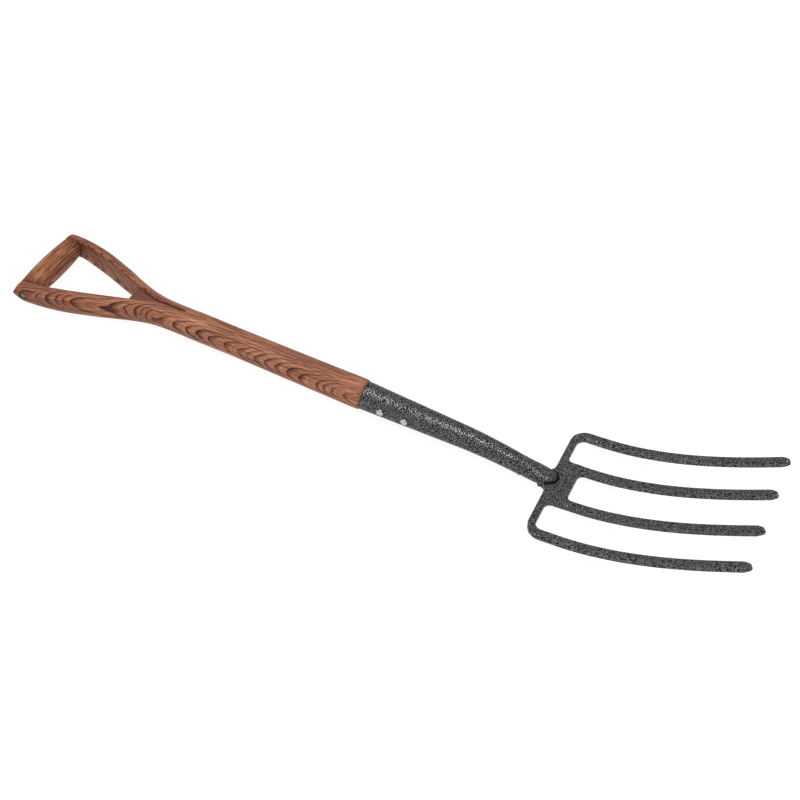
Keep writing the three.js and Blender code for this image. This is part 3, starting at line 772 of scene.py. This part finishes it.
def outer_bar():
    """The crossbar and both outer tines, one bar bent round two corners."""
    centre_y = HEAD_HALF_WIDTH - CORNER_RADIUS
    rings = list(reversed(tip_rings(OUTER_TINE_Y)))
    rings += [tine_ring(s, OUTER_TINE_Y) for s in np.linspace(TIP_START, CORNER_RADIUS, 90)]
    for share in np.linspace(0, 1, 19)[1:]:
        turn = share * np.pi / 2
        inner = CORNER_RADIUS - TINE_WIDTH + (TINE_WIDTH - CROSSBAR_WIDTH) * share
        ends = []
        for radius in (CORNER_RADIUS, inner):
            ends.append((CORNER_RADIUS - radius * math.sin(turn), centre_y + radius * math.cos(turn)))
        rings.append(bar_ring(*ends, TINE_THICKNESS))
    for y in np.linspace(centre_y, 0, 30)[1:-1]:
        rings.append(bar_ring((0, y), (CROSSBAR_WIDTH, y), TINE_THICKNESS))
    return skin(rings + [mirrored(ring) for ring in reversed(rings)])


def inner_tine(side):
    """One inner tine, with the fillet that it leaves the frog in on its inner side."""
    half = TINE_WIDTH / 2
    rings = []
    for s in [*np.arange(INNER_TINE_ROOT, 40, 0.7), *np.linspace(40.5, TIP_START, 85)]:
        past = max(s - MIDDLE_SLOT_START, 0)
        inner = INNER_TINE_Y - half - fillet_reach(SLOT_FILLET, past)
        rings.append(bar_ring((s, side * (INNER_TINE_Y + half)), (s, side * inner), TINE_THICKNESS))
    return skin(rings + tip_rings(side * INNER_TINE_Y))


def frog_half_width(s):
    """Half the frog's width, with its fillets to the neck and to the crossbar's slots."""
    reach = INNER_TINE_Y + TINE_WIDTH / 2
    if s <= 0:
        return NECK_HALF_WIDTH + fillet_reach(NECK_FILLET, -s)
    if s < CROSSBAR_WIDTH:
        return reach
    return reach + fillet_reach(SLOT_FILLET, s - CROSSBAR_WIDTH)


def frog():
    """The flat plate between the neck and the inner tines."""
    by_neck = [*np.arange(FROG_BACK, -0.1, 0.6), -0.05]
    in_crossbar = np.arange(0.5, CROSSBAR_WIDTH, 1)
    by_slots = [*np.arange(CROSSBAR_WIDTH + 0.1, MIDDLE_SLOT_START, 0.5), MIDDLE_SLOT_START]
    rings = []
    for s in [*by_neck, *in_crossbar, *by_slots]:
        half = frog_half_width(s)
        rings.append(bar_ring((s, half), (s, -half), FROG_THICKNESS))
    return skin(rings)


def neck():
    """Oval sections from the weld out over the frog, to a rounded nose."""
    half_width = curve_through(NECK_STATIONS, 1)
    top = curve_through(NECK_STATIONS, 2)
    bottom = curve_through(NECK_STATIONS, 3)
    rings = []
    for x in np.linspace(NECK_STATIONS[0][0], NECK_STATIONS[-1][0], 60):
        high, low = float(top(x)), float(bottom(x))
        ring = circle(x, 1)
        ring[:, 1] *= half_width(x)
        ring[:, 2] = (high + low) / 2 + ring[:, 2] * (high - low) / 2
        rings.append(ring)
    return skin(rings)


def spigot():
    """The stub at the back of the neck that sits in the socket."""
    rings = []
    for x in np.linspace(SPIGOT_START, SOCKET_END, 12):
        radius = socket_radius(x) - SOCKET_WALL - SPIGOT_GAP
        rings.append(circle(x, radius, socket_axis_z(x)))
    rings.append(rings[-1] + [SPIGOT_OVERLAP, 0, 0])
    return skin(rings)


def crease_depth(piece):
    """How deep in a crease each point of a mesh lies, from 0 to 1."""
    mesh = piece.data
    edges = np.zeros(len(mesh.edges) * 2, np.int64)
    mesh.edges.foreach_get("vertices", edges)
    first, second = edges.reshape(-1, 2).T
    normals = np.zeros(len(mesh.vertices) * 3, np.float32)
    mesh.vertices.foreach_get("normal", normals)
    at = coordinates(piece)
    shared = np.bincount(first, minlength=len(at)) + np.bincount(second, minlength=len(at))

    def neighbours(values):
        total = np.zeros_like(values)
        np.add.at(total, first, values[second])
        np.add.at(total, second, values[first])
        return (total.T / shared).T

    hollow = np.sum((neighbours(at) - at) * normals.reshape(-1, 3), 1)
    return smoothstep(neighbours(hollow), *CREASE_RANGE)


def nose_corner_shade(at):
    """How much painted shade each point gets round the corner where the neck's nose meets the frog, from
    0 to 1.
    """
    x, y, _ = at.T
    outline = np.hypot((x - NOSE_CENTRE_X) / NOSE_LENGTH, y / NOSE_HALF_WIDTH)
    near = NOSE_SHADE * (1 - smoothstep(np.abs(outline - 1) * NOSE_LENGTH, *NOSE_SHADE_FADE))
    return near * smoothstep(x, NOSE_CENTRE_X, NOSE_CENTRE_X + NOSE_SHADE_RISE)


def make_head(material):
    """The forging: its bars are drawn one by one, merged on a fine grid of cells and smoothed."""
    bars = [outer_bar(), frog(), inner_tine(1), inner_tine(-1), neck(), spigot()]
    piece = mesh_from("forged_head", *joined(bars))
    remesh = piece.modifiers.new("merge", "REMESH")
    remesh.mode = "VOXEL"
    remesh.voxel_size = HEAD_VOXEL
    smooth = piece.modifiers.new("forged", "SMOOTH")
    smooth.factor = 0.5
    smooth.iterations = HEAD_SMOOTHING
    apply_modifiers(piece)
    # Painted shade: darker paint in the creases and round the neck's nose.
    attribute = piece.data.attributes.new("crease_shade", "FLOAT", "POINT")
    crease_shade = np.maximum(crease_depth(piece), nose_corner_shade(coordinates(piece)))
    attribute.data.foreach_set("value", crease_shade.astype(np.float32))
    finished(piece, "fork_head", material, 60)


def make_weld(material):
    """A low bead all round the joint between socket and neck."""
    rings = []
    for turn in np.linspace(0, 2 * np.pi, 24, endpoint=False):
        out = SOCKET_END_RADIUS + TOUCH + WELD_RISE * (1 + math.sin(turn)) / 2
        x = SOCKET_END + WELD_RADIUS * math.cos(turn)
        rings.append(circle(x, out, socket_axis_z(SOCKET_END)))
    piece = mesh_from("weld_bead", *skin(rings, closed=True))
    finished(piece, "neck_weld", material, 60)


# ---- Materials ----
def linear(red, green, blue):
    """An 0 to 255 display colour as the linear colour that a shader takes."""
    channels = []
    for value in (red, green, blue):
        share = value / 255
        channels.append(share / 12.92 if share <= 0.04045 else ((share + 0.055) / 1.055) ** 2.4)
    return (*channels, 1.0)


# The growth rings' centre lies outside the shaft, behind it and a little below, in millimetres.
PITH = (0, 29.2, -6.8)
# Share of a ring's width, darkness there: dark porous wood first, then pale dense wood.
EARLY_WOOD = [(0.0, 0.2), (0.04, 1.0), (0.17, 0.9), (0.33, 0.35), (0.6, 0.0), (0.97, 0.1)]
# The wood's stain and painted shade: their colour and how far they go.
STAIN_AND_SHADE_COLOUR, STAIN_AND_SHADE_DEPTH = linear(72, 22, 12), 0.7
PAINT_GROUND, PAINT_SILVER = linear(7, 7, 8), linear(141, 142, 144)
# Painted shade in the head's creases: its colour and how far it goes.
CREASE_SHADE_COLOUR, CREASE_SHADE_DEPTH = linear(6, 6, 7), 0.8
# How far the surface stands up and down, in metres.
WOOD_RELIEF, PAINT_RELIEF, STEEL_RELIEF = 0.00018, 0.00014, 0.00003
FLOOR_GLOW = 0.92


def add_node(tree, kind, inputs=None, **settings):
    """Adds a shader node; an input is either a plain value or another node's output."""
    made = tree.nodes.new("ShaderNode" + kind)
    for name, value in settings.items():
        setattr(made, name, value)
    for name, value in (inputs or {}).items():
        if isinstance(value, bpy.types.NodeSocket):
            tree.links.new(value, made.inputs[name])
        else:
            made.inputs[name].default_value = value
    return made


def maths(tree, operation, first, second=0.0):
    return add_node(tree, "Math", {0: first, 1: second}, operation=operation).outputs[0]


def vector_maths(tree, operation, first, second):
    made = add_node(tree, "VectorMath", {0: first, 1: second}, operation=operation)
    return made.outputs["Vector"]


def noise(tree, vector, scale=1.0, detail=2.0, roughness=0.5):
    """A noise node: its output 0 is a grey and its "Color" three independent greys."""
    inputs = {"Vector": vector, "Scale": scale, "Detail": detail, "Roughness": roughness}
    return add_node(tree, "TexNoise", inputs)


def stretched_noise(tree, vector, cycles, detail=2.0, roughness=0.5):
    """Noise with its own number of cycles per millimetre along each axis."""
    return noise(tree, vector_maths(tree, "MULTIPLY", vector, cycles), 1.0, detail, roughness)


def centred(tree, colour, size):
    """A colour as a shift about zero, of a given size along each axis."""
    shift = vector_maths(tree, "SUBTRACT", colour, (0.5, 0.5, 0.5))
    return vector_maths(tree, "MULTIPLY", shift, size)


def ramp(tree, factor, stops):
    """A grey ramp through (position, value) stops."""
    made = add_node(tree, "ValToRGB", {"Fac": factor})
    elements = made.color_ramp.elements
    while len(elements) < len(stops):
        elements.new(0.5)
    for element, (position, value) in zip(elements, stops):
        element.position = position
        element.color = (value, value, value, 1)
    return made.outputs["Color"]


def mix(tree, factor, first, second, blend="MIX"):
    made = add_node(tree, "Mix", {0: factor, 6: first, 7: second}, data_type="RGBA", blend_type=blend)
    return made.outputs[2]


def relief_bump(tree, shader, height, distance, strength):
    bump = add_node(tree, "Bump", {"Height": height, "Distance": distance, "Strength": strength})
    tree.links.new(bump.outputs[0], shader.inputs["Normal"])


def new_material(name):
    """A material with one Principled shader, and its tree and shader."""
    material = bpy.data.materials.new(name)
    material.use_nodes = True
    tree = material.node_tree
    return material, tree, tree.nodes["Principled BSDF"]


def ring_count(tree, grain, ring_width, slope, figure):
    """How many growth rings out from the pith a point lies; figure makes the rings wander."""
    drift = stretched_noise(tree, grain, (0.011, 0.02, 0.02)).outputs["Color"]
    wobble = stretched_noise(tree, grain, (0.05, 0.16, 0.16)).outputs["Color"]
    place = vector_maths(tree, "ADD", grain, centred(tree, drift, (0, 8 * figure, 8 * figure)))
    place = vector_maths(tree, "ADD", place, centred(tree, wobble, (0, 0.8 * figure, 0.8 * figure)))
    from_pith = vector_maths(tree, "SUBTRACT", place, PITH)
    flat = vector_maths(tree, "MULTIPLY", from_pith, (0, 1, 1))
    radius = add_node(tree, "VectorMath", {0: flat}, operation="LENGTH").outputs["Value"]
    along = add_node(tree, "SeparateXYZ", {0: grain}).outputs["X"]
    rings = maths(tree, "ADD", radius, maths(tree, "MULTIPLY", along, slope))
    rings = maths(tree, "DIVIDE", rings, ring_width)
    spacing = {"W": rings, "Scale": 0.55, "Detail": 1.0}
    uneven = add_node(tree, "TexNoise", spacing, noise_dimensions="1D").outputs[0]
    return maths(tree, "ADD", rings, maths(tree, "MULTIPLY", uneven, 0.9))


def ash_material(name, light, middle, dark, ring_width=2.0, slope=0.112, figure=1.0, streaks=1.0):
    """Stained ring-porous ash under satin lacquer: growth rings, pores, fibres, real stain and painted
    shade.
    """
    material, tree, shader = new_material(name)
    grain = add_node(tree, "Attribute", attribute_name="grain").outputs["Vector"]
    rings = ring_count(tree, grain, ring_width, slope, figure)
    ring = maths(tree, "FRACT", rings)
    early = ramp(tree, ring, EARLY_WOOD)
    strength = stretched_noise(tree, grain, (0.012, 0.07, 0.07)).outputs[0]
    band = maths(tree, "MULTIPLY", early, ramp(tree, strength, [(0.36, 0.45), (0.6, 1.0)]))
    fine = maths(tree, "FRACT", maths(tree, "MULTIPLY", rings, 3.0))
    line = ramp(tree, fine, [(0.0, 1.0), (0.3, 0.5), (0.6, 0.0), (0.95, 0.3)])
    pores = stretched_noise(tree, grain, (0.07, 1.0, 1.0), 2.0, 0.6).outputs[0]
    pore = ramp(tree, pores, [(0.48, 0.0), (0.6, 1.0)])
    pore = maths(tree, "MULTIPLY", pore, maths(tree, "ADD", maths(tree, "MULTIPLY", early, 0.5), 0.5))
    fibres = stretched_noise(tree, grain, (0.02, 0.5, 0.5), 4.0, 0.65).outputs[0]
    fibre = ramp(tree, fibres, [(0.36, 0.0), (0.64, 1.0)])

    colour = mix(tree, fibre, middle, light)
    colour = mix(tree, maths(tree, "MULTIPLY", line, 0.42), colour, dark)
    colour = mix(tree, band, colour, dark)
    colour = mix(tree, maths(tree, "MULTIPLY", pore, 0.6 * streaks), colour, dark)
    patches = stretched_noise(tree, grain, (0.014, 0.05, 0.05), 3.0).outputs[0]
    shade = ramp(tree, patches, [(0.3, 0.78), (0.7, 1.1)])
    colour = mix(tree, 1.0, colour, shade, "MULTIPLY")
    # Real stain and painted shade, as deep as each point's stored darkness.
    stain_and_shade = add_node(tree, "Attribute", attribute_name="stain_and_shade").outputs["Fac"]
    colour = mix(tree, maths(tree, "MULTIPLY", stain_and_shade, STAIN_AND_SHADE_DEPTH), colour, STAIN_AND_SHADE_COLOUR)
    tree.links.new(colour, shader.inputs["Base Color"])

    rough = maths(tree, "ADD", 0.46, maths(tree, "MULTIPLY", pore, 0.25))
    rough = maths(tree, "ADD", rough, maths(tree, "MULTIPLY", fibre, 0.06))
    tree.links.new(rough, shader.inputs["Roughness"])
    grooves = maths(tree, "MULTIPLY", pore, -1.0)
    relief = maths(tree, "ADD", grooves, maths(tree, "MULTIPLY", band, -0.35))
    relief = maths(tree, "ADD", relief, maths(tree, "MULTIPLY", fibre, 0.15))
    relief_bump(tree, shader, relief, WOOD_RELIEF, 0.7)
    shader.inputs["Specular IOR Level"].default_value = 0.2
    return material


def hammer_material():
    """Charcoal hammer paint: rounded dimples about a millimetre wide, with silver flakes in them, and
    painted shade in the head's creases.
    """
    material, tree, shader = new_material("hammer_paint")
    place = add_node(tree, "TexCoord").outputs["Object"]
    place = vector_maths(tree, "MULTIPLY", place, (1000, 1000, 1000))
    warp = noise(tree, place, 0.6, 2.0).outputs["Color"]
    place = vector_maths(tree, "ADD", place, centred(tree, warp, (0.9, 0.9, 0.9)))
    pattern = {"Vector": place, "Scale": 0.85, "Randomness": 0.85}
    cells = add_node(tree, "TexVoronoi", pattern, feature="F1").outputs["Distance"]
    dome = ramp(tree, cells, [(0.0, 1.0), (0.4, 0.7), (0.78, 0.1)])
    specks = noise(tree, place, 1.1, 0.0).outputs[0]
    speck = ramp(tree, specks, [(0.49, 0.0), (0.61, 1.0)])
    flake = maths(tree, "MULTIPLY", speck, maths(tree, "ADD", maths(tree, "MULTIPLY", dome, 0.4), 0.6))
    # Painted shade: in the creases the flakes fade and the paint darkens.
    crease_shade = add_node(tree, "Attribute", attribute_name="crease_shade").outputs["Fac"]
    flake = maths(tree, "MULTIPLY", flake, maths(tree, "SUBTRACT", 1.0, crease_shade))
    colour = mix(tree, flake, PAINT_GROUND, PAINT_SILVER)
    colour = mix(tree, maths(tree, "MULTIPLY", crease_shade, CREASE_SHADE_DEPTH), colour, CREASE_SHADE_COLOUR)
    tree.links.new(colour, shader.inputs["Base Color"])
    metal = maths(tree, "ADD", 0.08, maths(tree, "MULTIPLY", flake, 0.35))
    tree.links.new(metal, shader.inputs["Metallic"])
    rough = maths(tree, "SUBTRACT", 0.26, maths(tree, "MULTIPLY", speck, 0.1))
    tree.links.new(rough, shader.inputs["Roughness"])
    tree.links.new(maths(tree, "MULTIPLY", flake, 0.5), shader.inputs["Specular IOR Level"])
    relief = maths(tree, "ADD", dome, maths(tree, "MULTIPLY", speck, 0.5))
    relief_bump(tree, shader, relief, PAINT_RELIEF, 1.0)
    return material


def steel_material(name, dull, bright):
    """Rivet steel, dulled unevenly and finely scratched."""
    material, tree, shader = new_material(name)
    place = add_node(tree, "TexCoord").outputs["Object"]
    blotch = noise(tree, place, 900.0, 3.0).outputs[0]
    colour = mix(tree, ramp(tree, blotch, [(0.3, 0.0), (0.7, 1.0)]), dull, bright)
    tree.links.new(colour, shader.inputs["Base Color"])
    rough = maths(tree, "ADD", 0.22, maths(tree, "MULTIPLY", blotch, 0.2))
    tree.links.new(rough, shader.inputs["Roughness"])
    drawn = vector_maths(tree, "MULTIPLY", place, (1, 3, 0.25))
    scratch = noise(tree, drawn, 5200.0, 2.0).outputs[0]
    relief_bump(tree, shader, scratch, STEEL_RELIEF, 0.5)
    shader.inputs["Metallic"].default_value = 1.0
    return material


def floor_material():
    """A pale floor that glows a little, so that it stays pale where the fork shades it."""
    material, tree, shader = new_material("pale_floor")
    place = add_node(tree, "TexCoord").outputs["Object"]
    mottle = noise(tree, place, 3.0, 3.0).outputs[0]
    colour = mix(tree, mottle, (0.17, 0.17, 0.17, 1), (0.19, 0.19, 0.19, 1))
    tree.links.new(colour, shader.inputs["Base Color"])
    shader.inputs["Emission Color"].default_value = (1, 1, 1, 1)
    shader.inputs["Emission Strength"].default_value = FLOOR_GLOW
    shader.inputs["Roughness"].default_value = 0.9
    shader.inputs["Specular IOR Level"].default_value = 0.1
    return material


# ---- The pieces ----
ash = ash_material("stained_ash", linear(218, 153, 118), linear(148, 85, 62), linear(60, 25, 17))
grip_ash = ash_material(
    "stained_ash_grip", linear(238, 168, 120), linear(142, 77, 50), linear(60, 24, 14),
    ring_width=1.7, slope=0.004, figure=0.35, streaks=1.4,
)
wedge_ash = ash_material(
    "stained_wedge", linear(150, 100, 84), linear(128, 82, 68), linear(76, 40, 32),
    ring_width=1.8, slope=0.02, figure=0.5,
)
paint = hammer_material()
steel = steel_material("rivet_steel", linear(165, 165, 163), linear(205, 205, 203))
worn_steel = steel_material("worn_rivet_steel", linear(88, 80, 74), linear(142, 133, 125))

make_shaft(ash)
make_wedge(wedge_ash)
make_grip(grip_ash)
make_rivet(
    "grip_rivet_steel", "grip_rivet", worn_steel, 0, GRIP_Z, RIVET_RADIUS,
    GRIP_RECESS_FLOOR + WASHER_THICKNESS + 2 * TOUCH, GRIP_RIVET_HEAD_RADIUS, GRIP_RIVET_DOME,
)
make_washer("grip_burr_left", "grip_washer_left", worn_steel, 1)
make_washer("grip_burr_right", "grip_washer_right", worn_steel, -1)
make_rivet(
    "split_rivet_steel", "split_rivet", worn_steel,
    SPLIT_RIVET_X, float(shaft_axis_z(SPLIT_RIVET_X)), SPLIT_RIVET_SHANK,
    SPLIT_RECESS_FLOOR + TOUCH, SPLIT_RIVET_HEAD_RADIUS, SPLIT_RIVET_DOME,
)
make_socket(paint)
for x, label in zip(SOCKET_RIVET_XS, ("upper", "lower")):
    make_rivet(
        f"{label}_rivet_steel", f"socket_rivet_{label}", steel, x, socket_axis_z(x), RIVET_RADIUS,
        socket_radius(x) - SOCKET_RIVET_SINK, SOCKET_RIVET_HEAD_RADIUS,
        SOCKET_RIVET_DOME + SOCKET_RIVET_SINK, SOCKET_RIVET_DIMPLE,
    )
make_weld(paint)
make_head(paint)


# ---- Floor, light and camera ----
FLOOR_REACH = 30  # metres
FLOOR_GAP = 0.0004  # metres below the fork
WORLD_STRENGTH = 0.46
SUN_STRENGTH = 2.2
SUN_SPREAD = math.radians(26)
SUN_TILT = (math.radians(11.5), math.radians(-2), 0)

# The camera is placed in the tool's own axes, in millimetres, so that it keeps its view of the fork.
CAMERA_TARGET = Vector((511.96, 15.0, 0))
CAMERA_DISTANCE = 1802.8
CAMERA_AZIMUTH = math.radians(18.79)
CAMERA_ELEVATION = math.radians(45.75)
CAMERA_ROLL = math.radians(-8.47)
CAMERA_LENS = 63.907


def make_floor():
    """A wide pale floor just below the fork."""
    low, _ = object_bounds()
    points = FLOOR_REACH * np.array([(-1, -1, 0), (1, -1, 0), (1, 1, 0), (-1, 1, 0)], float)
    floor = mesh_from("studio_floor", points, [(0, 1, 2, 3)])
    floor.location.z = low.z - FLOOR_GAP
    floor.data.materials.append(floor_material())


def make_light():
    """An even pale sky, and a broad soft light from overhead."""
    world = bpy.data.worlds.new("studio")
    world.use_nodes = True
    background = world.node_tree.nodes["Background"]
    background.inputs["Color"].default_value = (1.0, 1.0, 1.0, 1)
    background.inputs["Strength"].default_value = WORLD_STRENGTH
    bpy.context.scene.world = world
    lamp = bpy.data.lights.new("overhead", "SUN")
    lamp.energy = SUN_STRENGTH
    lamp.angle = SUN_SPREAD
    key = bpy.data.objects.new("overhead", lamp)
    key.rotation_euler = SUN_TILT
    bpy.context.scene.collection.objects.link(key)


def make_camera():
    """Looks at the target from an azimuth and elevation, rolled about its own line of sight."""
    data = bpy.data.cameras.new("camera")
    data.sensor_width = 36
    data.lens = CAMERA_LENS
    data.clip_end = 50
    camera = bpy.data.objects.new("camera", data)
    bpy.context.scene.collection.objects.link(camera)
    flat = math.cos(CAMERA_ELEVATION)
    back = Vector((
        math.sin(CAMERA_AZIMUTH) * flat,
        -math.cos(CAMERA_AZIMUTH) * flat,
        math.sin(CAMERA_ELEVATION),
    ))
    right = Vector((math.cos(CAMERA_AZIMUTH), math.sin(CAMERA_AZIMUTH), 0))
    down = (-back).cross(right)
    across = math.cos(CAMERA_ROLL) * right + math.sin(CAMERA_ROLL) * down
    upright = math.sin(CAMERA_ROLL) * right - math.cos(CAMERA_ROLL) * down
    facing = Matrix((across, upright, back)).transposed()
    turn = TO_PART.to_quaternion().to_matrix()
    place = TO_PART @ (CAMERA_TARGET + CAMERA_DISTANCE * back)
    camera.matrix_world = Matrix.Translation(place) @ (turn @ facing).to_4x4()
    bpy.context.scene.camera = camera


make_floor()
make_light()
make_camera()
bpy.context.scene.view_settings.view_transform = "Standard"
